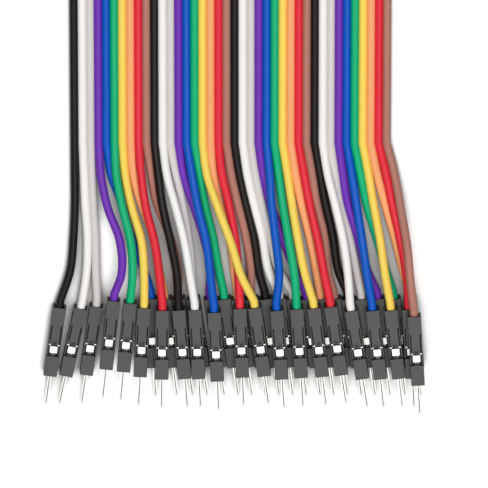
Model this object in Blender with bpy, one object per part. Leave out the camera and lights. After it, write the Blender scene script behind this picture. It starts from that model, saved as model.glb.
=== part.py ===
# Forty-way breadboard jumper ribbon: bonded coloured wires with one single-pin connector per wire end.
# Metres, +Z up. The ribbon lies along Y on the plane z = 0, its fanned near end towards -Y.
import bpy
import bmesh
from math import ceil, radians
from mathutils import Matrix, Vector

MM = 0.001

# Wires and the bonded ribbon
WIRE_DIAMETER = 1.60 * MM
BOND_OVERLAP = 0.10 * MM
BOND_LENGTH = 75.0 * MM
NEAR_TAIL = 32.0 * MM
FAR_TAIL = 15.0 * MM
RIBBON_LIFT = 0.05 * MM
COLOURS = {
    "black": (0.03, 0.03, 0.03),
    "white": (0.95, 0.94, 0.90),
    "grey": (0.70, 0.69, 0.66),
    "violet": (0.18, 0.05, 0.46),
    "blue": (0.01, 0.11, 0.58),
    "green": (0.01, 0.48, 0.20),
    "yellow": (1.00, 0.72, 0.14),
    "orange": (1.00, 0.42, 0.20),
    "red": (0.80, 0.06, 0.08),
    "brown": (0.48, 0.22, 0.16),
}
COLOUR_REPEATS = 4

# Single-pin housings on the 2.54 mm grid
HOUSING_WIDTH = 2.54 * MM
HOUSING_HEIGHT = 2.54 * MM
HOUSING_LENGTH = 14.0 * MM
WIRE_CLEARANCE = 0.15 * MM
CAVITY_DEPTH = 3.0 * MM
WIRE_END_GAP = 0.4 * MM
LAYER_GAP = 0.3 * MM

# Latch tongue and inspection window in the top wall, measured from the wire end
SLOT_START = 3.6 * MM
SLOT_WIDTH = 0.25 * MM
WINDOW_START = 7.6 * MM
WINDOW_LENGTH = 2.1 * MM
WINDOW_WIDTH = 1.80 * MM
WINDOW_DEPTH = 0.90 * MM

# Crimp contact: its square pin
PIN_WIDTH = 0.64 * MM
PIN_LENGTH = 6.2 * MM
PIN_ROOT = 2.0 * MM
PIN_TIP_LENGTH = 0.9 * MM
PIN_TIP_SHARE = 0.4

# Far end: plain blocks of connectors, side by side
BLOCK_COUNT = 5
SEAM_WIDTH = 0.20 * MM
SEAM_DEPTH = 0.25 * MM

# Near connectors as they lie: wire: (place across in housing widths, turn in degrees, push along)
NEAR_FLOOR = {
    1: (-13.07, -7.8, -0.95 * MM),
    2: (-11.69, -12.0, -1.05 * MM),
    3: (-10.35, -8.3, -0.75 * MM),
}
NEAR_UPPER = {
    4: (-8.95, -6.2, 1.6 * MM),
    6: (-7.70, -5.4, 1.1 * MM),
    7: (-6.57, -3.1, 0.1 * MM),
    9: (-5.08, -0.6, -0.4 * MM),
    11: (-3.62, 4.6, -0.3 * MM),
    12: (-2.50, 3.0, -0.3 * MM),
    15: (-1.10, 2.4, -0.8 * MM),
    19: (0.79, 2.0, 0.0 * MM),
    17: (2.15, 7.6, 0.2 * MM),
    25: (3.62, 4.1, -0.4 * MM),
    26: (5.08, 3.5, -0.1 * MM),
    27: (6.50, 6.7, 0.1 * MM),
    29: (7.83, 8.5, 0.4 * MM),
    32: (9.37, 9.1, -0.4 * MM),
    35: (10.83, 6.3, -0.4 * MM),
    37: (12.20, 6.5, -0.3 * MM),
    39: (13.37, 3.2, -0.2 * MM),
}
NEAR_TOP = {
    40: (13.76, 3.4, -0.45 * MM),
}
# Those underneath lie side by side: wire: (place, turn), all pushed by the same amount
NEAR_LOWER = {
    5: (-5.80, 2.4), 8: (-4.58, 6.5), 10: (-3.50, 7.5), 13: (-2.40, 7.5), 14: (-1.14, 7.5),
    16: (-0.11, 7.5), 18: (0.91, 7.5), 20: (1.93, 7.5), 21: (2.95, 7.5), 22: (3.97, 7.5),
    23: (4.99, 7.5), 24: (6.01, 7.5), 28: (7.03, 7.5), 30: (8.05, 7.5), 31: (9.07, 7.5),
    33: (10.09, 7.5), 34: (11.25, 7.0), 36: (12.43, 6.6), 38: (13.62, 6.2),
}
LOWER_PUSH = 0.8 * MM

# Loose wires at the near end: how far each has drifted sideways from its place in the ribbon,
# in millimetres, at these distances from the connectors
STATIONS = (26.0 * MM, 20.0 * MM, 13.0 * MM, 6.0 * MM)
DRIFT = {
    1: (0.0, 0.0, -0.3, -1.0), 2: (0.2, 0.4, 0.8, 0.6), 3: (0.2, 0.4, 0.8, 0.9),
    4: (0.4, 1.6, 4.0, 4.1), 5: (0.75, 2.7, 4.5, 7.0), 6: (0.3, 1.4, 3.0, 3.3),
    7: (0.4, 1.5, 3.5, 4.0), 8: (0.5, 1.9, 4.25, 5.4), 9: (0.5, 1.3, 3.0, 3.9),
    10: (0.8, 1.85, 4.35, 5.9), 11: (0.7, 1.5, 3.0, 4.2), 12: (0.8, 2.4, 4.1, 5.2),
    13: (0.9, 2.15, 3.3, 4.0), 14: (0.8, 2.6, 4.7, 6.0), 15: (1.0, 2.1, 3.7, 4.5),
    16: (0.9, 1.85, 3.45, 4.6), 17: (0.8, 2.8, 5.3, 7.4), 18: (0.4, 1.5, 3.5, 4.5),
    19: (0.6, 1.85, 3.15, 3.7), 20: (0.85, 2.1, 3.65, 4.6), 21: (0.8, 2.05, 3.65, 4.6),
    22: (0.8, 2.05, 3.75, 5.0), 23: (0.8, 2.0, 3.8, 5.5), 24: (0.8, 2.2, 4.4, 7.1),
    25: (0.6, 1.0, 1.8, 2.4), 26: (0.7, 1.5, 2.7, 3.8), 27: (0.9, 1.8, 3.0, 4.4),
    28: (0.9, 2.0, 3.6, 4.9), 29: (1.0, 2.1, 3.7, 5.0), 30: (1.0, 1.9, 3.4, 4.1),
    31: (1.0, 2.05, 3.55, 4.6), 32: (1.0, 2.5, 4.0, 4.9), 33: (0.8, 1.7, 3.6, 5.0),
    34: (0.8, 1.7, 3.7, 5.6), 35: (1.0, 1.9, 3.0, 4.0), 36: (1.1, 2.25, 4.2, 6.1),
    37: (1.1, 2.1, 3.4, 4.4), 38: (1.2, 2.7, 4.6, 6.3), 39: (1.4, 2.6, 4.2, 5.4),
    40: (1.5, 2.6, 3.9, 4.6),
}
# Share of the climb to its connector that a wire has made at each station
CLIMB = (0.05, 0.28, 0.68, 0.95)
EARLY_CLIMB = (0.34, 0.68, 0.92, 1.0)
LATE_CLIMB = (0.0, 0.10, 0.40, 0.55)
EARLY_CLIMBERS = (4, 6, 9, 11, 12, 15, 17, 25, 32)
LATE_CLIMBERS = (19,)
FAR_CLIMB = 0.45

# How finely a wire's line is read
STEP_IN_DIAMETERS = 3.0
READINGS_PER_SPAN = 8
MOUTH_LENGTH = 1.2 * MM

WIRE_COUNT = len(COLOURS) * COLOUR_REPEATS
WIRE_PITCH = WIRE_DIAMETER - BOND_OVERLAP
WIRE_RADIUS = WIRE_DIAMETER / 2
RIBBON_LEVEL = WIRE_RADIUS + RIBBON_LIFT
CAVITY_WIDTH = WIRE_DIAMETER + 2 * WIRE_CLEARANCE
WIRE_INSERT = CAVITY_DEPTH - WIRE_END_GAP
LOWER_LEVEL = HOUSING_HEIGHT / 2
UPPER_LEVEL = 1.5 * HOUSING_HEIGHT + LAYER_GAP
TOP_LEVEL = 2.5 * HOUSING_HEIGHT + 2 * LAYER_GAP
NEAR_ENTRY_Y = HOUSING_LENGTH / 2
NEAR_BOND_Y = NEAR_ENTRY_Y + NEAR_TAIL
FAR_BOND_Y = NEAR_BOND_Y + BOND_LENGTH
FAR_ENTRY_Y = FAR_BOND_Y + FAR_TAIL
FAR_CENTRE_Y = FAR_ENTRY_Y + HOUSING_LENGTH / 2


def clear_objects():
    for obj in list(bpy.data.objects):
        bpy.data.objects.remove(obj, do_unlink=True)


def new_collection(name):
    collection = bpy.data.collections.new(name)
    bpy.context.scene.collection.children.link(collection)
    return collection


def plastic(name, colour, roughness=0.45, metallic=0.0):
    material = bpy.data.materials.new(name)
    material.use_nodes = True
    shader = material.node_tree.nodes["Principled BSDF"]
    shader.inputs["Base Color"].default_value = (*colour, 1.0)
    shader.inputs["Roughness"].default_value = roughness
    shader.inputs["Metallic"].default_value = metallic
    material.diffuse_color = (*colour, 1.0)
    return material


def add_box(bm, low, high, material_index=0):
    low, high = Vector(low), Vector(high)
    size = high - low
    place = Matrix.Translation((low + high) / 2) @ Matrix.Diagonal((*size, 1.0))
    corners = bmesh.ops.create_cube(bm, size=1.0, matrix=place)["verts"]
    faces = {face for corner in corners for face in corner.link_faces}
    for face in faces:
        face.material_index = material_index
    return faces


def mesh_object(name, bm, collection, materials):
    mesh = bpy.data.meshes.new(name)
    bm.to_mesh(mesh)
    bm.free()
    for material in materials:
        mesh.materials.append(material)
    obj = bpy.data.objects.new(name, mesh)
    collection.objects.link(obj)
    return obj


def hide_guide(obj):
    obj.hide_render = True
    obj.display_type = "WIRE"


def combine(obj, other, operation):
    modifier = obj.modifiers.new(operation.lower(), "BOOLEAN")
    modifier.operation = operation
    modifier.solver = "EXACT"
    modifier.object = other


def finished_mesh(obj, name):
    """The mesh of an object with its modifiers applied."""
    depsgraph = bpy.context.evaluated_depsgraph_get()
    mesh = bpy.data.meshes.new_from_object(obj.evaluated_get(depsgraph))
    mesh.name = name
    return mesh


# Connector: housing and contact

def add_latch_cut(bm, centre_x):
    """A U-shaped cut: the window and the two slots that free the latch tongue."""
    wire_end = HOUSING_LENGTH / 2
    half = WINDOW_WIDTH / 2
    inner = half - SLOT_WIDTH
    window_top = wire_end - WINDOW_START
    window_bottom = window_top - WINDOW_LENGTH
    slot_top = wire_end - SLOT_START
    outline = [
        (-half, window_bottom), (half, window_bottom), (half, slot_top), (inner, slot_top),
        (inner, window_top), (-inner, window_top), (-inner, slot_top), (-half, slot_top),
    ]
    floor = HOUSING_HEIGHT / 2 - WINDOW_DEPTH
    corners = [bm.verts.new((centre_x + x, y, floor)) for x, y in outline]
    bottom = bm.faces.new(corners)
    raised = bmesh.ops.extrude_face_region(bm, geom=[bottom])["geom"]
    top = [item for item in raised if isinstance(item, bmesh.types.BMVert)]
    bmesh.ops.translate(bm, vec=(0, 0, 2 * WINDOW_DEPTH), verts=top)


def add_pin(bm, centre_x):
    half = PIN_WIDTH / 2
    mating_end = -HOUSING_LENGTH / 2
    shoulder = mating_end - PIN_LENGTH + PIN_TIP_LENGTH
    faces = add_box(
        bm, (centre_x - half, shoulder, -half), (centre_x + half, mating_end + PIN_ROOT, half), 1
    )
    end = min(faces, key=lambda face: face.calc_center_median().y)
    tip = bmesh.ops.extrude_discrete_faces(bm, faces=[end])["faces"][0]
    for corner in tip.verts:
        corner.co.x = centre_x + (corner.co.x - centre_x) * PIN_TIP_SHARE
        corner.co.z *= PIN_TIP_SHARE
        corner.co.y -= PIN_TIP_LENGTH


def connector_mesh(name, count, cutters, materials):
    """The mesh of some connectors side by side, wire end towards +Y, top upwards."""
    centres = [(index - (count - 1) / 2) * HOUSING_WIDTH for index in range(count)]
    half_block = count * HOUSING_WIDTH / 2
    half_length, half_height = HOUSING_LENGTH / 2, HOUSING_HEIGHT / 2
    body = bmesh.new()
    add_box(body, (-half_block, -half_length, -half_height), (half_block, half_length, half_height))
    housing = mesh_object(name, body, cutters, materials)

    hollow = bmesh.new()
    half_cavity = CAVITY_WIDTH / 2
    for x in centres:
        add_box(
            hollow,
            (x - half_cavity, half_length - CAVITY_DEPTH, -half_cavity),
            (x + half_cavity, half_length + CAVITY_DEPTH, half_cavity),
        )
        add_latch_cut(hollow, x)
    for x in centres[1:]:
        seam = x - HOUSING_WIDTH / 2
        add_box(
            hollow,
            (seam - SEAM_WIDTH / 2, -HOUSING_LENGTH, half_height - SEAM_DEPTH),
            (seam + SEAM_WIDTH / 2, HOUSING_LENGTH, half_height + SEAM_DEPTH),
        )
    bmesh.ops.recalc_face_normals(hollow, faces=hollow.faces)
    hollows = mesh_object(name + "_hollows", hollow, cutters, materials)
    combine(housing, hollows, "DIFFERENCE")

    pins = bmesh.new()
    for x in centres:
        add_pin(pins, x)
    bmesh.ops.remove_doubles(pins, verts=pins.verts, dist=0.00001)
    bmesh.ops.recalc_face_normals(pins, faces=pins.faces)
    contacts = mesh_object(name + "_pins", pins, cutters, materials)
    combine(housing, contacts, "UNION")

    mesh = finished_mesh(housing, name)
    for guide in (hollows, contacts):
        hide_guide(guide)
    bpy.data.objects.remove(housing)
    return mesh


def near_connector_places():
    """Wire number to (centre of the housing, turn about Z in radians)."""
    places = {}
    layers = ((NEAR_FLOOR, LOWER_LEVEL), (NEAR_UPPER, UPPER_LEVEL), (NEAR_TOP, TOP_LEVEL))
    for layer, level in layers:
        for wire, (place, turn, push) in layer.items():
            places[wire] = (Vector((place * HOUSING_WIDTH, push, level)), radians(turn))
    for wire, (place, turn) in NEAR_LOWER.items():
        places[wire] = (Vector((place * HOUSING_WIDTH, LOWER_PUSH, LOWER_LEVEL)), radians(turn))
    return places


def far_block_places():
    """Block name to (centre of the block, the wires it holds). Odd wires go to the upper layer."""
    places = {}
    group = len(COLOURS)
    for repeat in range(COLOUR_REPEATS):
        for layer, first, level in (("upper", 1, UPPER_LEVEL), ("lower", 2, LOWER_LEVEL)):
            wires = [repeat * group + first + 2 * index for index in range(BLOCK_COUNT)]
            middle = sum(ribbon_x(wire) for wire in wires) / len(wires)
            name = f"far_connectors_{layer}_{repeat + 1}"
            places[name] = (Vector((middle, FAR_CENTRE_Y, level)), wires)
    return places


def place_connectors(collection, root, cutters, materials):
    single = connector_mesh("connector", 1, cutters, materials)
    block = connector_mesh("connector_block", BLOCK_COUNT, cutters, materials)
    placed = []
    for wire, (centre, turn) in sorted(near_connector_places().items()):
        obj = bpy.data.objects.new(f"connector_{wire:02d}", single)
        obj.location, obj.rotation_euler.z = centre, turn
        placed.append(obj)
    for name, (centre, _) in far_block_places().items():
        obj = bpy.data.objects.new(name, block)
        obj.location, obj.rotation_euler.z = centre, radians(180)
        placed.append(obj)
    for obj in placed:
        collection.objects.link(obj)
        obj.parent = root
    return placed


# Wires

def ribbon_x(wire):
    return (wire - (WIRE_COUNT + 1) / 2) * WIRE_PITCH


def smooth_line(points, step):
    """Points about a step apart on a smooth curve through the given points."""
    last = len(points) - 1
    spans = [(b - a).length for a, b in zip(points, points[1:])]
    slopes = [(b - a) / span for a, b, span in zip(points, points[1:], spans)]
    tangents = [slopes[0]]
    for index in range(1, last):
        before, after = spans[index - 1], spans[index]
        tangents.append((slopes[index - 1] * after + slopes[index] * before) / (before + after))
    tangents.append(slopes[-1])
    fine = [points[0]]
    for index in range(last):
        for reading in range(1, READINGS_PER_SPAN + 1):
            t = reading / READINGS_PER_SPAN
            fine.append(
                points[index] * (2 * t**3 - 3 * t**2 + 1)
                + points[index + 1] * (3 * t**2 - 2 * t**3)
                + tangents[index] * spans[index] * (t**3 - 2 * t**2 + t)
                + tangents[index + 1] * spans[index] * (t**3 - t**2)
            )
    total = sum((b - a).length for a, b in zip(fine, fine[1:]))
    count = ceil(total / step)
    even, walked = [fine[0]], 0.0
    for a, b in zip(fine, fine[1:]):
        length = (b - a).length
        while len(even) < count and walked + length >= total * len(even) / count:
            even.append(a.lerp(b, (total * len(even) / count - walked) / length))
        walked += length
    return even + [points[-1]]


def near_tail_points(wire, centre, turn):
    """The route's own points from the bond's near end to the connector's mouth."""
    climbs = CLIMB
    if wire in EARLY_CLIMBERS:
        climbs = EARLY_CLIMB
    if wire in LATE_CLIMBERS:
        climbs = LATE_CLIMB
    x = ribbon_x(wire)
    rise = centre.z - RIBBON_LEVEL
    points = [Vector((x, NEAR_BOND_Y, RIBBON_LEVEL))]
    for distance, drift, climb in zip(STATIONS, DRIFT[wire], climbs):
        level = RIBBON_LEVEL + climb * rise
        points.append(Vector((x + drift * MM, NEAR_ENTRY_Y + distance, level)))
    outward = Matrix.Rotation(turn, 3, "Z") @ Vector((0, 1, 0))
    points.append(centre + outward * (HOUSING_LENGTH / 2 + MOUTH_LENGTH))
    return points, centre + outward * (HOUSING_LENGTH / 2 - WIRE_INSERT)


def far_tail_points(wire, centre):
    """The route's own points from the connector's mouth back to the bond's far end."""
    mouth = Vector((centre.x, FAR_ENTRY_Y - MOUTH_LENGTH, centre.z))
    start = Vector((ribbon_x(wire), FAR_BOND_Y, RIBBON_LEVEL))
    middle = start.lerp(mouth, 0.5)
    middle.z = RIBBON_LEVEL + FAR_CLIMB * (centre.z - RIBBON_LEVEL)
    return [mouth, middle, start], Vector((centre.x, FAR_ENTRY_Y + WIRE_INSERT, centre.z))


def far_wire_ends():
    """Wire number to the centre of its own housing at the far end."""
    ends = {}
    for centre, wires in far_block_places().values():
        for index, wire in enumerate(wires):
            offset = (index - (BLOCK_COUNT - 1) / 2) * HOUSING_WIDTH
            ends[wire] = centre + Vector((offset, 0, 0))
    return ends


def wire_lines(step=STEP_IN_DIAMETERS * WIRE_DIAMETER):
    """Wire number to the points of its centreline, from its far end to its near end."""
    lines = {}
    far_ends = far_wire_ends()
    for wire, (centre, turn) in near_connector_places().items():
        far_points, far_end = far_tail_points(wire, far_ends[wire])
        near_points, near_end = near_tail_points(wire, centre, turn)
        far_line = smooth_line(far_points, step)
        near_line = smooth_line(near_points, step)
        lines[wire] = [far_end, *far_line, *near_line, near_end]
    return lines


def tube_mesh(name, points, material):
    curve = bpy.data.curves.new(name, "CURVE")
    curve.dimensions = "3D"
    curve.bevel_depth = WIRE_RADIUS
    curve.bevel_resolution = 2
    curve.use_fill_caps = True
    spline = curve.splines.new("POLY")
    spline.points.add(len(points) - 1)
    for point, place in zip(spline.points, points):
        point.co = (*place, 1.0)
    curve.materials.append(material)
    obj = bpy.data.objects.new(name, curve)
    bpy.context.scene.collection.objects.link(obj)
    bpy.context.view_layer.update()
    mesh = finished_mesh(obj, name)
    bpy.data.objects.remove(obj)
    return mesh


def wire_set(name, wires, lines, materials, collection):
    """Some wires that don't touch each other, as one mesh object."""
    bm = bmesh.new()
    for wire in wires:
        index = (wire - 1) % len(materials)
        first = len(bm.faces)
        bm.from_mesh(tube_mesh(f"wire_{wire:02d}", lines[wire], materials[index]))
        bm.faces.ensure_lookup_table()
        for face in bm.faces[first:]:
            face.material_index = index
    bmesh.ops.remove_doubles(bm, verts=bm.verts, dist=0.00001)
    bmesh.ops.recalc_face_normals(bm, faces=bm.faces)
    return mesh_object(name, bm, collection, materials)


def make_ribbon(collection, root, cutters, materials):
    lines = wire_lines()
    odd = wire_set("ribbon", range(1, WIRE_COUNT + 1, 2), lines, materials, collection)
    even = wire_set("even_wires", range(2, WIRE_COUNT + 1, 2), lines, materials, cutters)
    for guide in (odd, even):
        guide.parent = root
    hide_guide(even)
    combine(odd, even, "UNION")
    return odd


def centre_over_origin(root, connectors):
    """Moves the assembly so that the middle of the connectors' box lies over the origin."""
    bpy.context.view_layer.update()
    corners = [obj.matrix_world @ Vector(corner) for obj in connectors for corner in obj.bound_box]
    for axis in (0, 1):
        values = [corner[axis] for corner in corners]
        root.location[axis] -= (min(values) + max(values)) / 2
    bpy.context.view_layer.update()


def build():
    clear_objects()
    collection = new_collection("jumper_ribbon")
    cutters = new_collection("cutters")
    root = bpy.data.objects.new("jumper_ribbon_origin", None)
    collection.objects.link(root)
    housing = plastic("housing_black", (0.045, 0.045, 0.043), roughness=0.6)
    tin = plastic("contact_tin", (0.80, 0.79, 0.76), roughness=0.25, metallic=1.0)
    insulation = [plastic("wire_" + name, colour) for name, colour in COLOURS.items()]
    connectors = place_connectors(collection, root, cutters, [housing, tin])
    make_ribbon(collection, root, cutters, insulation)
    centre_over_origin(root, connectors)


build()
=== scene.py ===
# Looks of the forty-way breadboard jumper ribbon: coloured wires, moulded housings, tinned contacts.
import bpy
import bmesh
from math import ceil, cos, radians, sin
from mathutils import Matrix, Vector


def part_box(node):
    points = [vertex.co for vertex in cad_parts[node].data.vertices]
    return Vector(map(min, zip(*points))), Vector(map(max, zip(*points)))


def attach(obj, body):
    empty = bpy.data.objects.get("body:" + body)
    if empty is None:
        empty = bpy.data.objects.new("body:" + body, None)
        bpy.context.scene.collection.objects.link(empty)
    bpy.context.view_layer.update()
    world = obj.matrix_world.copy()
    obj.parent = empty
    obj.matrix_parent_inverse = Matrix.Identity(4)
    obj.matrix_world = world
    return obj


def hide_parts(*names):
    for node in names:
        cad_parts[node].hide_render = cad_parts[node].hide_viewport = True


MM = 0.001

# Wires and ribbon, as in the part
WIRE_DIAMETER = 1.60 * MM
BOND_OVERLAP = 0.10 * MM
BOND_LENGTH = 75.0 * MM
NEAR_TAIL = 32.0 * MM
FAR_TAIL = 15.0 * MM
RIBBON_LIFT = 0.05 * MM
COLOUR_REPEATS = 4

# Housing, as in the part
HOUSING_WIDTH = 2.54 * MM
HOUSING_HEIGHT = 2.54 * MM
HOUSING_LENGTH = 14.0 * MM
WIRE_CLEARANCE = 0.15 * MM
CAVITY_DEPTH = 3.0 * MM
WIRE_END_GAP = 0.4 * MM
LAYER_GAP = 0.3 * MM
BLOCK_COUNT = 5

# Housing openings and edges. The slots and the window are a little larger than the part's plain cuts,
# and the roundings, the step, the groove and the dimple are only here.
EDGE_ROUNDING = 0.12 * MM
CUT_ROUNDING = 0.05 * MM
REAR_STEP = 0.14 * MM
GROOVE_WIDTH = 0.20 * MM
GROOVE_DEPTH = 0.95 * MM
SLOT_START = 3.6 * MM
SLOT_WIDTH = 0.26 * MM
WINDOW_START = 7.5 * MM
WINDOW_LENGTH = 2.2 * MM
WINDOW_WIDTH = 2.08 * MM
PIN_HOLE_WIDTH = 0.76 * MM
TONGUE_THICKNESS = 0.63 * MM
TONGUE_DIMPLE_RADIUS = 0.42 * MM
TONGUE_DIMPLE_DEPTH = 0.35 * MM
TONGUE_DIMPLE_BACK = 0.56 * MM

# Contact. Pin width and length are the part's, its tip is a little blunter,
# and the sheet-metal forms inside the housing are only here.
PIN_WIDTH = 0.64 * MM
PIN_LENGTH = 6.2 * MM
PIN_TIP_LENGTH = 0.9 * MM
PIN_TIP_SHARE = 0.6
PIN_ROUNDING = 0.07 * MM
PIN_SEAM_WIDTH = 0.20 * MM
PIN_SEAM_DEPTH = 0.055 * MM
SHEET_THICKNESS = 0.15 * MM
CONTACT_BOX_WIDTH = 1.42 * MM
CONTACT_BOX_LENGTH = 1.34 * MM
CONTACT_BOX_SUNK = 0.15 * MM
LUG_WIDTH = 0.36 * MM
LUG_HEIGHT = 0.30 * MM
LUG_LENGTH = 0.24 * MM
LUG_GAP = 0.16 * MM
LUG_SUNK = 0.06 * MM
LUG_CLEARANCE = 0.03 * MM
CONTACT_LIFT = WIRE_CLEARANCE / 3
BARREL_RADIUS = 0.8 * PIN_WIDTH
BARREL_LENGTH = 3 * PIN_WIDTH

# How finely the shapes are made
CYLINDER_SEGMENTS = 24
WIRE_BEVEL_RESOLUTION = 6
ROUNDED_FROM_ANGLE = 40.0
WELD_DISTANCE = 0.001 * MM

# Near connectors as they lie: wire: (place across in housing widths, turn in degrees, push along)
NEAR_FLOOR = {
    1: (-13.07, -7.8, -0.95 * MM),
    2: (-11.69, -12.0, -1.05 * MM),
    3: (-10.35, -8.3, -0.75 * MM),
}
NEAR_UPPER = {
    4: (-8.95, -6.2, 1.6 * MM),
    6: (-7.70, -5.4, 1.1 * MM),
    7: (-6.57, -3.1, 0.1 * MM),
    9: (-5.08, -0.6, -0.4 * MM),
    11: (-3.62, 4.6, -0.3 * MM),
    12: (-2.50, 3.0, -0.3 * MM),
    15: (-1.10, 2.4, -0.8 * MM),
    19: (0.79, 2.0, 0.0 * MM),
    17: (2.15, 7.6, 0.2 * MM),
    25: (3.62, 4.1, -0.4 * MM),
    26: (5.08, 3.5, -0.1 * MM),
    27: (6.50, 6.7, 0.1 * MM),
    29: (7.83, 8.5, 0.4 * MM),
    32: (9.37, 9.1, -0.4 * MM),
    35: (10.83, 6.3, -0.4 * MM),
    37: (12.20, 6.5, -0.3 * MM),
    39: (13.37, 3.2, -0.2 * MM),
}
NEAR_TOP = {
    40: (13.76, 3.4, -0.45 * MM),
}
# Those underneath lie side by side: wire: (place, turn), all pushed by the same amount
NEAR_LOWER = {
    5: (-5.80, 2.4), 8: (-4.58, 6.5), 10: (-3.50, 7.5), 13: (-2.40, 7.5), 14: (-1.14, 7.5),
    16: (-0.11, 7.5), 18: (0.91, 7.5), 20: (1.93, 7.5), 21: (2.95, 7.5), 22: (3.97, 7.5),
    23: (4.99, 7.5), 24: (6.01, 7.5), 28: (7.03, 7.5), 30: (8.05, 7.5), 31: (9.07, 7.5),
    33: (10.09, 7.5), 34: (11.25, 7.0), 36: (12.43, 6.6), 38: (13.62, 6.2),
}
LOWER_PUSH = 0.8 * MM

# Sideways drift of each loose wire, in millimetres, at these distances from the connectors
STATIONS = (26.0 * MM, 20.0 * MM, 13.0 * MM, 6.0 * MM)
DRIFT = {
    1: (0.0, 0.0, -0.3, -1.0), 2: (0.2, 0.4, 0.8, 0.6), 3: (0.2, 0.4, 0.8, 0.9),
    4: (0.4, 1.6, 4.0, 4.1), 5: (0.75, 2.7, 4.5, 7.0), 6: (0.3, 1.4, 3.0, 3.3),
    7: (0.4, 1.5, 3.5, 4.0), 8: (0.5, 1.9, 4.25, 5.4), 9: (0.5, 1.3, 3.0, 3.9),
    10: (0.8, 1.85, 4.35, 5.9), 11: (0.7, 1.5, 3.0, 4.2), 12: (0.8, 2.4, 4.1, 5.2),
    13: (0.9, 2.15, 3.3, 4.0), 14: (0.8, 2.6, 4.7, 6.0), 15: (1.0, 2.1, 3.7, 4.5),
    16: (0.9, 1.85, 3.45, 4.6), 17: (0.8, 2.8, 5.3, 7.4), 18: (0.4, 1.5, 3.5, 4.5),
    19: (0.6, 1.85, 3.15, 3.7), 20: (0.85, 2.1, 3.65, 4.6), 21: (0.8, 2.05, 3.65, 4.6),
    22: (0.8, 2.05, 3.75, 5.0), 23: (0.8, 2.0, 3.8, 5.5), 24: (0.8, 2.2, 4.4, 7.1),
    25: (0.6, 1.0, 1.8, 2.4), 26: (0.7, 1.5, 2.7, 3.8), 27: (0.9, 1.8, 3.0, 4.4),
    28: (0.9, 2.0, 3.6, 4.9), 29: (1.0, 2.1, 3.7, 5.0), 30: (1.0, 1.9, 3.4, 4.1),
    31: (1.0, 2.05, 3.55, 4.6), 32: (1.0, 2.5, 4.0, 4.9), 33: (0.8, 1.7, 3.6, 5.0),
    34: (0.8, 1.7, 3.7, 5.6), 35: (1.0, 1.9, 3.0, 4.0), 36: (1.1, 2.25, 4.2, 6.1),
    37: (1.1, 2.1, 3.4, 4.4), 38: (1.2, 2.7, 4.6, 6.3), 39: (1.4, 2.6, 4.2, 5.4),
    40: (1.5, 2.6, 3.9, 4.6),
}

# Share of the climb to its connector that a wire has made at each station
CLIMB = (0.05, 0.28, 0.68, 0.95)
EARLY_CLIMB = (0.34, 0.68, 0.92, 1.0)
LATE_CLIMB = (0.0, 0.10, 0.40, 0.55)
EARLY_CLIMBERS = (4, 6, 9, 11, 12, 15, 17, 25, 32)
LATE_CLIMBERS = (19,)
FAR_CLIMB = 0.45

# How finely a wire's line is read, and its straight stretch before a housing
STEP = 0.8 * MM
READINGS_PER_SPAN = 8
MOUTH_LENGTH = 1.2 * MM

# Insulation colours, linear, in the order they lie from -X to +X
COLOURS = {
    "black": (0.009, 0.007, 0.006),
    "white": (0.95, 0.93, 0.90),
    "grey": (0.71, 0.67, 0.645),
    "violet": (0.165, 0.032, 0.46),
    "blue": (0.001, 0.10, 0.55),
    "green": (0.002, 0.46, 0.19),
    "yellow": (0.97, 0.70, 0.115),
    "orange": (0.97, 0.41, 0.175),
    "red": (0.80, 0.025, 0.047),
    "brown": (0.49, 0.21, 0.16),
}
HOUSING_BLACK = (0.031, 0.030, 0.028)
TIN = (0.86, 0.85, 0.82)

# Surfaces: noise scales are per metre, a stretch below 1 draws the noise out along a wire or contact,
# and dark and light shares multiply the written colour
VINYL_STREAK_SCALE, VINYL_STREAK_STRETCH = 900, (1.0, 0.03, 1.0)
VINYL_GRAIN_SCALE = 2600
VINYL_DARK_SHARE, BROWN_DARK_SHARE = 0.92, 0.78
VINYL_ROUGHNESS = (0.34, 0.50)
VINYL_BUMP_STRENGTH = 0.12
VINYL_SPECULAR = 0.22
NYLON_GRAIN_SCALE = 5200
NYLON_CLOUD_SCALE = 420
NYLON_DARK_SHARE, NYLON_LIGHT_SHARE = 0.85, 1.12
NYLON_ROUGHNESS = (0.48, 0.68)
NYLON_BUMP_STRENGTH = 0.25
NYLON_SPECULAR = 0.92
GRAIN_DEPTH = 0.02 * MM
TIN_BRUSH_SCALE, TIN_BRUSH_STRETCH = 3000, (1.0, 0.06, 1.0)
TIN_DARK_SHARE = 0.86
TIN_ROUGHNESS = (0.20, 0.38)
TIN_BUMP_STRENGTH = 0.08
BRUSH_DEPTH = 0.01 * MM

# Camera: over the fanned end, leaning back towards the ribbon, with a long lens. FRAME_WIDTH is what
# it takes in at the table, and AIM is the point there that it looks at.
CAMERA_LEAN = 22.0
FRAME_WIDTH = 91.9 * MM
LENS = 800.0
SENSOR = 36.0
AIM = (2.54 * MM, 18.1 * MM)

# Light and floor. The sky is bright overhead and fades between two angles from straight up. The floor's
# hollows, within reach of a wire or housing, get painted shade in their colour and glow where less of
# the sky is open than these shares.
SKY_FADE_START, SKY_FADE_END = 38.0, 52.0
SKY_LIGHT = 1.22
HORIZON_LIGHT = 0.10
SOFTBOX_SIZE = 0.28
SOFTBOX_POWER = 1.42
SOFTBOX_PLACE = (0.09, 0.01, 0.60)
FLOOR_SIZE = 6.0
FLOOR_WHITE = (0.93, 0.92, 0.905)
FLOOR_BOUNCE = (0.25, 0.247, 0.243)
FLOOR_GLOW = 0.24
HOLLOW_REACH = 4.0 * MM
HOLLOW_OPEN, HOLLOW_SHUT = 0.72, 0.49
PAINTED_HOLLOW_SHADE = 0.55
FLOOR_ROUGHNESS = 0.9

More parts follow.
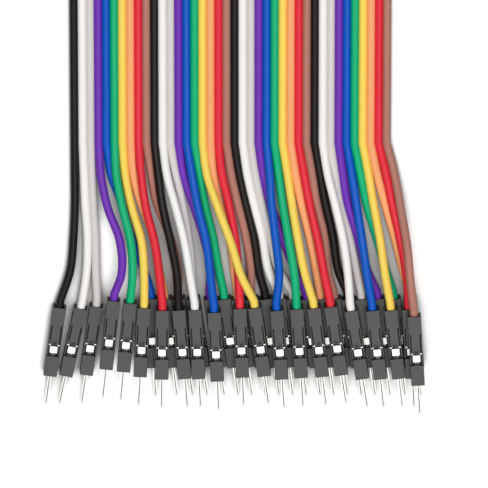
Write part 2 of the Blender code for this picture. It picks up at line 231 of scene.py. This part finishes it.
WIRE_COUNT = len(COLOURS) * COLOUR_REPEATS
WIRE_PITCH = WIRE_DIAMETER - BOND_OVERLAP
WIRE_RADIUS = WIRE_DIAMETER / 2
RIBBON_LEVEL = WIRE_RADIUS + RIBBON_LIFT
CAVITY_WIDTH = WIRE_DIAMETER + 2 * WIRE_CLEARANCE
WIRE_INSERT = CAVITY_DEPTH - WIRE_END_GAP
LOWER_LEVEL = HOUSING_HEIGHT / 2
UPPER_LEVEL = 1.5 * HOUSING_HEIGHT + LAYER_GAP
TOP_LEVEL = 2.5 * HOUSING_HEIGHT + 2 * LAYER_GAP
NEAR_ENTRY_Y = HOUSING_LENGTH / 2
NEAR_BOND_Y = NEAR_ENTRY_Y + NEAR_TAIL
FAR_BOND_Y = NEAR_BOND_Y + BOND_LENGTH
FAR_ENTRY_Y = FAR_BOND_Y + FAR_TAIL
FAR_CENTRE_Y = FAR_ENTRY_Y + HOUSING_LENGTH / 2

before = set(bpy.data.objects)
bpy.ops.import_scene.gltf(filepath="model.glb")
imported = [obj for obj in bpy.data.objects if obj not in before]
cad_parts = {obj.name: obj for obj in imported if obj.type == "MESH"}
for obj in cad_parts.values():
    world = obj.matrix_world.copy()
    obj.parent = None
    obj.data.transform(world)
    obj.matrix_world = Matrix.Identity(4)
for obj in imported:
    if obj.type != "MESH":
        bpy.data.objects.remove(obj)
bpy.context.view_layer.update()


def ribbon_x(wire):
    return (wire - (WIRE_COUNT + 1) / 2) * WIRE_PITCH


def far_blocks():
    """Block name to (centre in the ribbon's own frame, its wires)."""
    blocks = {}
    for repeat in range(COLOUR_REPEATS):
        for layer, first, level in (("upper", 1, UPPER_LEVEL), ("lower", 2, LOWER_LEVEL)):
            wires = [repeat * len(COLOURS) + first + 2 * index for index in range(BLOCK_COUNT)]
            middle = sum(ribbon_x(wire) for wire in wires) / len(wires)
            blocks[f"far_connectors_{layer}_{repeat + 1}"] = (
                Vector((middle, FAR_CENTRE_Y, level)), wires
            )
    return blocks


def frame_shift():
    """From the ribbon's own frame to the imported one, read from one far block."""
    name = "far_connectors_lower_1"
    low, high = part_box(name)
    centre, _ = far_blocks()[name]
    return Vector(((low.x + high.x) / 2 - centre.x, low.y - FAR_ENTRY_Y, 0))


SHIFT = frame_shift()


# Where the wires run

def near_connector_places():
    """Wire number to (centre of its near housing, turn)."""
    places = {}
    layers = ((NEAR_FLOOR, LOWER_LEVEL), (NEAR_UPPER, UPPER_LEVEL), (NEAR_TOP, TOP_LEVEL))
    for layer, level in layers:
        for wire, (place, turn, push) in layer.items():
            places[wire] = (Vector((place * HOUSING_WIDTH, push, level)), radians(turn))
    for wire, (place, turn) in NEAR_LOWER.items():
        places[wire] = (Vector((place * HOUSING_WIDTH, LOWER_PUSH, LOWER_LEVEL)), radians(turn))
    return places


def far_connector_places():
    """Wire number to (centre of its far housing, turn, the block it stands for)."""
    places = {}
    for name, (centre, wires) in far_blocks().items():
        for index, wire in enumerate(wires):
            offset = (index - (BLOCK_COUNT - 1) / 2) * HOUSING_WIDTH
            places[wire] = (centre + Vector((offset, 0, 0)), radians(180), name)
    return places


def smooth_line(points, step):
    """Points about a step apart on a smooth curve through the given points."""
    last = len(points) - 1
    spans = [(b - a).length for a, b in zip(points, points[1:])]
    slopes = [(b - a) / span for a, b, span in zip(points, points[1:], spans)]
    tangents = [slopes[0]]
    for index in range(1, last):
        before, after = spans[index - 1], spans[index]
        tangents.append((slopes[index - 1] * after + slopes[index] * before) / (before + after))
    tangents.append(slopes[-1])
    fine = [points[0]]
    for index in range(last):
        for reading in range(1, READINGS_PER_SPAN + 1):
            t = reading / READINGS_PER_SPAN
            fine.append(
                points[index] * (2 * t**3 - 3 * t**2 + 1)
                + points[index + 1] * (3 * t**2 - 2 * t**3)
                + tangents[index] * spans[index] * (t**3 - 2 * t**2 + t)
                + tangents[index + 1] * spans[index] * (t**3 - t**2)
            )
    total = sum((b - a).length for a, b in zip(fine, fine[1:]))
    count = ceil(total / step)
    even, walked = [fine[0]], 0.0
    for a, b in zip(fine, fine[1:]):
        length = (b - a).length
        while len(even) < count and walked + length >= total * len(even) / count:
            even.append(a.lerp(b, (total * len(even) / count - walked) / length))
        walked += length
    return even + [points[-1]]


def near_tail(wire, centre, turn):
    """The loose stretch from the bond to the near housing, and the wire's end inside that housing."""
    climbs = CLIMB
    if wire in EARLY_CLIMBERS:
        climbs = EARLY_CLIMB
    if wire in LATE_CLIMBERS:
        climbs = LATE_CLIMB
    x = ribbon_x(wire)
    rise = centre.z - RIBBON_LEVEL
    points = [Vector((x, NEAR_BOND_Y, RIBBON_LEVEL))]
    for distance, drift, climb in zip(STATIONS, DRIFT[wire], climbs):
        level = RIBBON_LEVEL + climb * rise
        points.append(Vector((x + drift * MM, NEAR_ENTRY_Y + distance, level)))
    outward = Matrix.Rotation(turn, 3, "Z") @ Vector((0, 1, 0))
    points.append(centre + outward * (HOUSING_LENGTH / 2 + MOUTH_LENGTH))
    return smooth_line(points, STEP), centre + outward * (HOUSING_LENGTH / 2 - WIRE_INSERT)


def far_tail(wire, centre):
    """The loose stretch from the far housing to the bond, and the wire's end inside that housing."""
    mouth = Vector((centre.x, FAR_ENTRY_Y - MOUTH_LENGTH, centre.z))
    start = Vector((ribbon_x(wire), FAR_BOND_Y, RIBBON_LEVEL))
    middle = start.lerp(mouth, 0.5)
    middle.z = RIBBON_LEVEL + FAR_CLIMB * (centre.z - RIBBON_LEVEL)
    end = Vector((centre.x, FAR_ENTRY_Y + WIRE_INSERT, centre.z))
    return smooth_line([mouth, middle, start], STEP), end


# Materials

def new_material(name):
    material = bpy.data.materials.new(name)
    material.use_nodes = True
    return material, material.node_tree.nodes, material.node_tree.links


def noise(nodes, links, scale, detail, stretch=(1, 1, 1)):
    """A noise texture in object space, stretched along an axis if asked."""
    coords = nodes.new("ShaderNodeTexCoord")
    mapping = nodes.new("ShaderNodeMapping")
    mapping.inputs["Scale"].default_value = stretch
    texture = nodes.new("ShaderNodeTexNoise")
    texture.inputs["Scale"].default_value = scale
    texture.inputs["Detail"].default_value = detail
    links.new(coords.outputs["Object"], mapping.inputs["Vector"])
    links.new(mapping.outputs["Vector"], texture.inputs["Vector"])
    return texture


def spread(nodes, links, source, low, high, span=(0.0, 1.0)):
    """Turns a number within the span into one between low and high."""
    remap = nodes.new("ShaderNodeMapRange")
    remap.inputs["From Min"].default_value, remap.inputs["From Max"].default_value = span
    remap.inputs["To Min"].default_value = low
    remap.inputs["To Max"].default_value = high
    links.new(source, remap.inputs["Value"])
    return remap.outputs["Result"]


def tint(nodes, links, factor, first, second):
    mix = nodes.new("ShaderNodeMix")
    mix.data_type = "RGBA"
    mix.inputs["A"].default_value = (*first, 1)
    mix.inputs["B"].default_value = (*second, 1)
    links.new(factor, mix.inputs["Factor"])
    return mix.outputs["Result"]


def bump(nodes, links, height, strength, distance):
    node = nodes.new("ShaderNodeBump")
    node.inputs["Strength"].default_value = strength
    node.inputs["Distance"].default_value = distance
    links.new(height, node.inputs["Height"])
    return node.outputs["Normal"]


def shade(colour, share):
    return tuple(channel * share for channel in colour)


def vinyl(name, colour):
    """Extruded PVC insulation: satin, with fine grain and faint draw lines along it."""
    material, nodes, links = new_material("vinyl_" + name)
    shader = nodes["Principled BSDF"]
    streaks = noise(nodes, links, VINYL_STREAK_SCALE, 2.0, VINYL_STREAK_STRETCH).outputs["Fac"]
    grain = noise(nodes, links, VINYL_GRAIN_SCALE, 4.0).outputs["Fac"]
    dark = shade(colour, BROWN_DARK_SHARE if name == "brown" else VINYL_DARK_SHARE)
    links.new(tint(nodes, links, streaks, dark, colour), shader.inputs["Base Color"])
    links.new(spread(nodes, links, grain, *VINYL_ROUGHNESS), shader.inputs["Roughness"])
    links.new(bump(nodes, links, grain, VINYL_BUMP_STRENGTH, GRAIN_DEPTH), shader.inputs["Normal"])
    shader.inputs["Specular IOR Level"].default_value = VINYL_SPECULAR
    return material


def nylon():
    """Matte moulded nylon: fine spark-eroded grain and a slightly uneven sheen."""
    material, nodes, links = new_material("moulded_nylon")
    shader = nodes["Principled BSDF"]
    grain = noise(nodes, links, NYLON_GRAIN_SCALE, 4.0).outputs["Fac"]
    clouds = noise(nodes, links, NYLON_CLOUD_SCALE, 2.0).outputs["Fac"]
    dark, light = shade(HOUSING_BLACK, NYLON_DARK_SHARE), shade(HOUSING_BLACK, NYLON_LIGHT_SHARE)
    links.new(tint(nodes, links, clouds, dark, light), shader.inputs["Base Color"])
    links.new(spread(nodes, links, grain, *NYLON_ROUGHNESS), shader.inputs["Roughness"])
    links.new(bump(nodes, links, grain, NYLON_BUMP_STRENGTH, GRAIN_DEPTH), shader.inputs["Normal"])
    shader.inputs["Specular IOR Level"].default_value = NYLON_SPECULAR
    return material


def tinned():
    """Tin-plated stamped sheet: bright, faintly brushed along its length."""
    material, nodes, links = new_material("tinned_contact")
    shader = nodes["Principled BSDF"]
    brush = noise(nodes, links, TIN_BRUSH_SCALE, 3.0, TIN_BRUSH_STRETCH).outputs["Fac"]
    dark = shade(TIN, TIN_DARK_SHARE)
    links.new(tint(nodes, links, brush, dark, TIN), shader.inputs["Base Color"])
    links.new(spread(nodes, links, brush, *TIN_ROUGHNESS), shader.inputs["Roughness"])
    links.new(bump(nodes, links, brush, TIN_BUMP_STRENGTH, BRUSH_DEPTH), shader.inputs["Normal"])
    shader.inputs["Metallic"].default_value = 1.0
    return material


# Shapes

def add_box(bm, low, high):
    low, high = Vector(low), Vector(high)
    place = Matrix.Translation((low + high) / 2) @ Matrix.Diagonal((*(high - low), 1.0))
    corners = bmesh.ops.create_cube(bm, size=1.0, matrix=place)["verts"]
    return {face for corner in corners for face in corner.link_faces}


def add_prism(bm, corners, rise):
    """A flat outline, given as points in space, extruded along rise."""
    face = bm.faces.new([bm.verts.new(corner) for corner in corners])
    raised = bmesh.ops.extrude_face_region(bm, geom=[face])["geom"]
    top = [item for item in raised if isinstance(item, bmesh.types.BMVert)]
    bmesh.ops.translate(bm, vec=rise, verts=top)


def add_cylinder(bm, radius, start, end):
    """A cylinder between two points."""
    start, end = Vector(start), Vector(end)
    turn = (end - start).to_track_quat("Z", "Y").to_matrix().to_4x4()
    bmesh.ops.create_cone(
        bm, cap_ends=True, segments=CYLINDER_SEGMENTS, radius1=radius, radius2=radius,
        depth=(end - start).length, matrix=Matrix.Translation((start + end) / 2) @ turn,
    )


def loose_object(name, bm):
    bmesh.ops.recalc_face_normals(bm, faces=bm.faces)
    mesh = bpy.data.meshes.new(name)
    bm.to_mesh(mesh)
    bm.free()
    obj = bpy.data.objects.new(name, mesh)
    bpy.context.scene.collection.objects.link(obj)
    return obj


def combine(obj, other, operation):
    modifier = obj.modifiers.new(operation.lower(), "BOOLEAN")
    modifier.operation = operation
    modifier.solver = "EXACT"
    modifier.object = other


def round_edges(obj, width, segments=2):
    modifier = obj.modifiers.new("rounding", "BEVEL")
    modifier.width = width
    modifier.segments = segments
    modifier.limit_method = "ANGLE"
    modifier.angle_limit = radians(ROUNDED_FROM_ANGLE)
    modifier.harden_normals = True
    modifier.use_clamp_overlap = True


def finished_mesh(obj, name, tools, material):
    """The object's final mesh in one material. The object and its tools are removed."""
    depsgraph = bpy.context.evaluated_depsgraph_get()
    mesh = bpy.data.meshes.new_from_object(obj.evaluated_get(depsgraph))
    mesh.name = name
    for used in (obj, *tools):
        bpy.data.objects.remove(used)
    mesh.materials.clear()
    mesh.materials.append(material)
    return mesh


def housing_mesh(material):
    """A single-pin housing, wire end towards +Y, latch side up."""
    half_width, half_height = HOUSING_WIDTH / 2, HOUSING_HEIGHT / 2
    wire_end, mating_end = HOUSING_LENGTH / 2, -HOUSING_LENGTH / 2
    window_top = wire_end - WINDOW_START
    window_bottom = window_top - WINDOW_LENGTH
    half_cavity = CAVITY_WIDTH / 2
    groove_start = window_bottom - GROOVE_WIDTH
    side = [
        (mating_end, -half_height), (wire_end, -half_height),
        (wire_end, half_height - REAR_STEP), (window_bottom, half_height - REAR_STEP),
        (window_bottom, half_height - GROOVE_DEPTH), (groove_start, half_height - GROOVE_DEPTH),
        (groove_start, half_height), (mating_end, half_height),
    ]
    body = bmesh.new()
    add_prism(body, [(-half_width, y, z) for y, z in side], (HOUSING_WIDTH, 0, 0))
    housing = loose_object("housing", body)
    round_edges(housing, EDGE_ROUNDING)

    channel = bmesh.new()
    tongue_underside = half_height - REAR_STEP - TONGUE_THICKNESS
    entry_end = wire_end - CAVITY_DEPTH
    run = [
        (window_bottom, -half_cavity), (HOUSING_LENGTH, -half_cavity),
        (HOUSING_LENGTH, half_cavity), (entry_end, half_cavity),
        (entry_end, tongue_underside), (window_bottom, tongue_underside),
    ]
    add_prism(channel, [(-half_cavity, y, z) for y, z in run], (CAVITY_WIDTH, 0, 0))
    channel_cut = loose_object("channel_cut", channel)
    combine(housing, channel_cut, "DIFFERENCE")

    top = bmesh.new()
    half_window = WINDOW_WIDTH / 2
    inner = half_window - SLOT_WIDTH
    slot_top = wire_end - SLOT_START
    outline = [
        (-half_window, window_bottom), (half_window, window_bottom), (half_window, slot_top),
        (inner, slot_top), (inner, window_top), (-inner, window_top), (-inner, slot_top),
        (-half_window, slot_top),
    ]
    slot_floor = tongue_underside - SLOT_WIDTH
    add_prism(top, [(x, y, slot_floor) for x, y in outline], (0, 0, HOUSING_HEIGHT))
    top_cut = loose_object("top_cut", top)
    combine(housing, top_cut, "DIFFERENCE")

    hole = bmesh.new()
    half_hole = PIN_HOLE_WIDTH / 2
    add_box(
        hole,
        (-half_hole, -HOUSING_LENGTH, -half_hole),
        (half_hole, window_bottom + PIN_HOLE_WIDTH, half_hole),
    )
    dimple_y = window_top + TONGUE_DIMPLE_BACK
    add_cylinder(
        hole, TONGUE_DIMPLE_RADIUS,
        (0, dimple_y, half_height - REAR_STEP - TONGUE_DIMPLE_DEPTH),
        (0, dimple_y, HOUSING_HEIGHT),
    )
    hole_cut = loose_object("hole_cut", hole)
    combine(housing, hole_cut, "DIFFERENCE")
    round_edges(housing, CUT_ROUNDING, 1)

    return finished_mesh(housing, "housing", [channel_cut, top_cut, hole_cut], material)


def contact_mesh(material):
    """The stamped contact: crimp barrel, lugs, box behind the window and the square pin."""
    wire_end, mating_end = HOUSING_LENGTH / 2, -HOUSING_LENGTH / 2
    half_pin = PIN_WIDTH / 2
    box_back = wire_end - WINDOW_START - (WINDOW_LENGTH - CONTACT_BOX_LENGTH) / 2
    box_front = box_back - CONTACT_BOX_LENGTH
    box_top = HOUSING_HEIGHT / 2 - REAR_STEP - CONTACT_BOX_SUNK
    half_box = CONTACT_BOX_WIDTH / 2
    floor = -CAVITY_WIDTH / 2 + CONTACT_LIFT

    body = bmesh.new()
    add_box(body, (-half_box, box_front, floor), (half_box, box_back, box_top))
    contact = loose_object("contact", body)
    inside = bmesh.new()
    add_box(
        inside,
        (SHEET_THICKNESS - half_box, box_front + SHEET_THICKNESS, floor + SHEET_THICKNESS),
        (half_box - SHEET_THICKNESS, box_back + SHEET_THICKNESS, box_top - SHEET_THICKNESS),
    )
    box_hollow = loose_object("box_hollow", inside)
    combine(contact, box_hollow, "DIFFERENCE")

    pin = bmesh.new()
    shoulder = mating_end - PIN_LENGTH + PIN_TIP_LENGTH
    faces = add_box(
        pin, (-half_pin, shoulder, -half_pin), (half_pin, box_front + SHEET_THICKNESS / 2, half_pin)
    )
    end = min(faces, key=lambda face: face.calc_center_median().y)
    tip = bmesh.ops.extrude_discrete_faces(pin, faces=[end])["faces"][0]
    for corner in tip.verts:
        corner.co.x *= PIN_TIP_SHARE
        corner.co.z *= PIN_TIP_SHARE
        corner.co.y -= PIN_TIP_LENGTH
    bmesh.ops.remove_doubles(pin, verts=pin.verts, dist=WELD_DISTANCE)
    pin_part = loose_object("pin", pin)
    combine(contact, pin_part, "UNION")

    lugs = bmesh.new()
    wall = CAVITY_WIDTH / 2 - LUG_CLEARANCE
    head = WINDOW_WIDTH / 2 - LUG_CLEARANCE
    lug_top = box_top - LUG_SUNK
    half_outline = [
        (wall, floor), (wall, lug_top - LUG_HEIGHT), (head, lug_top - LUG_HEIGHT), (head, lug_top),
        (head - LUG_WIDTH, lug_top), (head - LUG_WIDTH, lug_top - LUG_HEIGHT),
        (wall - SHEET_THICKNESS, lug_top - LUG_HEIGHT),
        (wall - SHEET_THICKNESS, floor + SHEET_THICKNESS),
    ]
    outline = half_outline + [(-x, z) for x, z in reversed(half_outline)]
    add_prism(lugs, [(x, box_back + LUG_GAP, z) for x, z in outline], (0, LUG_LENGTH, 0))
    lug_part = loose_object("lugs", lugs)
    combine(contact, lug_part, "UNION")

    strip = bmesh.new()
    add_box(
        strip,
        (-half_pin, box_back - PIN_WIDTH, floor),
        (half_pin, wire_end - WIRE_INSERT - WIRE_END_GAP, floor + SHEET_THICKNESS),
    )
    strip_part = loose_object("strip", strip)
    combine(contact, strip_part, "UNION")

    barrel = bmesh.new()
    barrel_start = wire_end - WIRE_INSERT - WIRE_END_GAP
    add_cylinder(
        barrel, BARREL_RADIUS,
        (0, barrel_start, floor + BARREL_RADIUS),
        (0, barrel_start - BARREL_LENGTH, floor + BARREL_RADIUS),
    )
    barrel_part = loose_object("barrel", barrel)
    combine(contact, barrel_part, "UNION")
    round_edges(contact, PIN_ROUNDING)

    seam = bmesh.new()
    half_seam = PIN_SEAM_WIDTH / 2
    valley = [
        (-half_seam, half_pin), (0, half_pin - PIN_SEAM_DEPTH), (half_seam, half_pin),
        (half_seam, PIN_WIDTH), (-half_seam, PIN_WIDTH),
    ]
    seam_start = box_front - SHEET_THICKNESS
    add_prism(seam, [(x, seam_start, z) for x, z in valley], (0, -HOUSING_LENGTH, 0))
    seam_cut = loose_object("seam_cut", seam)
    combine(contact, seam_cut, "DIFFERENCE")

    tools = [box_hollow, pin_part, lug_part, strip_part, barrel_part, seam_cut]
    return finished_mesh(contact, "contact", tools, material)


def place_piece(name, mesh, centre, turn, node):
    obj = bpy.data.objects.new(name, mesh)
    bpy.context.scene.collection.objects.link(obj)
    obj.location = centre + SHIFT
    obj.rotation_euler.z = turn
    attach(obj, "root")
    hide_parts(node)
    return obj


def wire_piece(wire, line, material):
    name = f"wire_{wire:02d}"
    curve = bpy.data.curves.new(name, "CURVE")
    curve.dimensions = "3D"
    curve.bevel_depth = WIRE_RADIUS
    curve.bevel_resolution = WIRE_BEVEL_RESOLUTION
    curve.use_fill_caps = True
    spline = curve.splines.new("POLY")
    spline.points.add(len(line) - 1)
    for point, place in zip(spline.points, line):
        point.co = (*(place + SHIFT), 1.0)
    curve.materials.append(material)
    obj = bpy.data.objects.new(name, curve)
    bpy.context.scene.collection.objects.link(obj)
    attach(obj, "root")
    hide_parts("ribbon")
    return obj


def make_camera():
    camera = bpy.data.cameras.new("camera")
    camera.lens = LENS
    camera.sensor_width = SENSOR
    obj = bpy.data.objects.new("camera", camera)
    bpy.context.scene.collection.objects.link(obj)
    lean = radians(CAMERA_LEAN)
    distance = FRAME_WIDTH * LENS / SENSOR
    target = Vector((*AIM, 0)) + SHIFT
    obj.location = target + Vector((0, sin(lean), cos(lean))) * distance
    obj.rotation_euler = (-lean, 0, 0)
    bpy.context.scene.camera = obj


def make_wires(housing, contact):
    vinyls = {name: vinyl(name, colour) for name, colour in COLOURS.items()}
    names = list(COLOURS)
    far_places = far_connector_places()
    for wire, (centre, turn) in near_connector_places().items():
        far_centre, far_turn, block = far_places[wire]
        near_line, near_end = near_tail(wire, centre, turn)
        far_line, far_end = far_tail(wire, far_centre)
        line = [near_end, *reversed(near_line), *reversed(far_line), far_end]
        colour = names[(wire - 1) % len(names)]
        cord = wire_piece(wire, line, vinyls[colour])
        node = f"connector_{wire:02d}"
        place_piece(f"housing_{wire:02d}", housing, centre, turn, node)
        place_piece(f"contact_{wire:02d}", contact, centre, turn, node)
        far_housing = place_piece(
            f"far_housing_{wire:02d}", housing, far_centre, far_turn, block
        )
        far_contact = place_piece(
            f"far_contact_{wire:02d}", contact, far_centre, far_turn, block
        )


def seen_rays(nodes, links):
    """1 for the rays that see a background: from the camera, off metal and through glass."""
    path = nodes.new("ShaderNodeLightPath")
    total = path.outputs["Is Camera Ray"]
    for kind in ("Is Glossy Ray", "Is Transmission Ray"):
        larger = nodes.new("ShaderNodeMath")
        larger.operation = "MAXIMUM"
        links.new(total, larger.inputs[0])
        links.new(path.outputs[kind], larger.inputs[1])
        total = larger.outputs["Value"]
    return total


def make_stage():
    bpy.ops.mesh.primitive_plane_add(size=FLOOR_SIZE, location=(0, 0, 0))
    floor = bpy.context.object
    floor.name = "floor"
    # Pale to the camera and in reflections, darker to the light that bounces off it onto the object
    material, nodes, links = new_material("floor_white_painted_shade")
    shader = nodes["Principled BSDF"]
    seen = seen_rays(nodes, links)
    # Painted shade: an ambient occlusion node darkens the floor's colour and glow in the hollows between
    # and under wires and housings
    hollow = nodes.new("ShaderNodeAmbientOcclusion")
    hollow.inputs["Distance"].default_value = HOLLOW_REACH
    openness = spread(nodes, links, hollow.outputs["AO"], 0.0, 1.0, (HOLLOW_SHUT, HOLLOW_OPEN))
    white = tint(nodes, links, openness, shade(FLOOR_WHITE, PAINTED_HOLLOW_SHADE), FLOOR_WHITE)
    colour = tint(nodes, links, seen, FLOOR_BOUNCE, FLOOR_WHITE)
    links.new(white, colour.node.inputs["B"])
    links.new(colour, shader.inputs["Base Color"])
    glow = nodes.new("ShaderNodeMath")
    glow.operation = "MULTIPLY"
    links.new(openness, glow.inputs[0])
    links.new(spread(nodes, links, seen, 0.0, FLOOR_GLOW), glow.inputs[1])
    links.new(glow.outputs["Value"], shader.inputs["Emission Strength"])
    shader.inputs["Emission Color"].default_value = (1, 1, 1, 1)
    shader.inputs["Roughness"].default_value = FLOOR_ROUGHNESS
    floor.data.materials.append(material)


def make_light():
    scene = bpy.context.scene
    scene.view_settings.view_transform = "Standard"
    world = bpy.data.worlds.new("studio")
    world.use_nodes = True
    nodes, links = world.node_tree.nodes, world.node_tree.links
    coords = nodes.new("ShaderNodeTexCoord")
    split = nodes.new("ShaderNodeSeparateXYZ")
    fade = nodes.new("ShaderNodeMapRange")
    fade.interpolation_type = "SMOOTHSTEP"
    fade.inputs["From Min"].default_value = cos(radians(SKY_FADE_END))
    fade.inputs["From Max"].default_value = cos(radians(SKY_FADE_START))
    fade.inputs["To Min"].default_value = HORIZON_LIGHT
    fade.inputs["To Max"].default_value = SKY_LIGHT
    links.new(coords.outputs["Generated"], split.inputs["Vector"])
    links.new(split.outputs["Z"], fade.inputs["Value"])
    links.new(fade.outputs["Result"], nodes["Background"].inputs["Strength"])
    nodes["Background"].inputs["Color"].default_value = (1, 1, 1, 1)
    scene.world = world
    lamp = bpy.data.lights.new("softbox", "AREA")
    lamp.size = SOFTBOX_SIZE
    lamp.energy = SOFTBOX_POWER
    obj = bpy.data.objects.new("softbox", lamp)
    scene.collection.objects.link(obj)
    target = Vector((*AIM, 0)) + SHIFT
    obj.location = target + Vector(SOFTBOX_PLACE)
    obj.rotation_euler = (target - obj.location).to_track_quat("-Z", "Y").to_euler()
    obj.visible_camera = False


make_camera()
make_light()
make_stage()
make_wires(housing_mesh(nylon()), contact_mesh(tinned()))
bpy.context.view_layer.update()
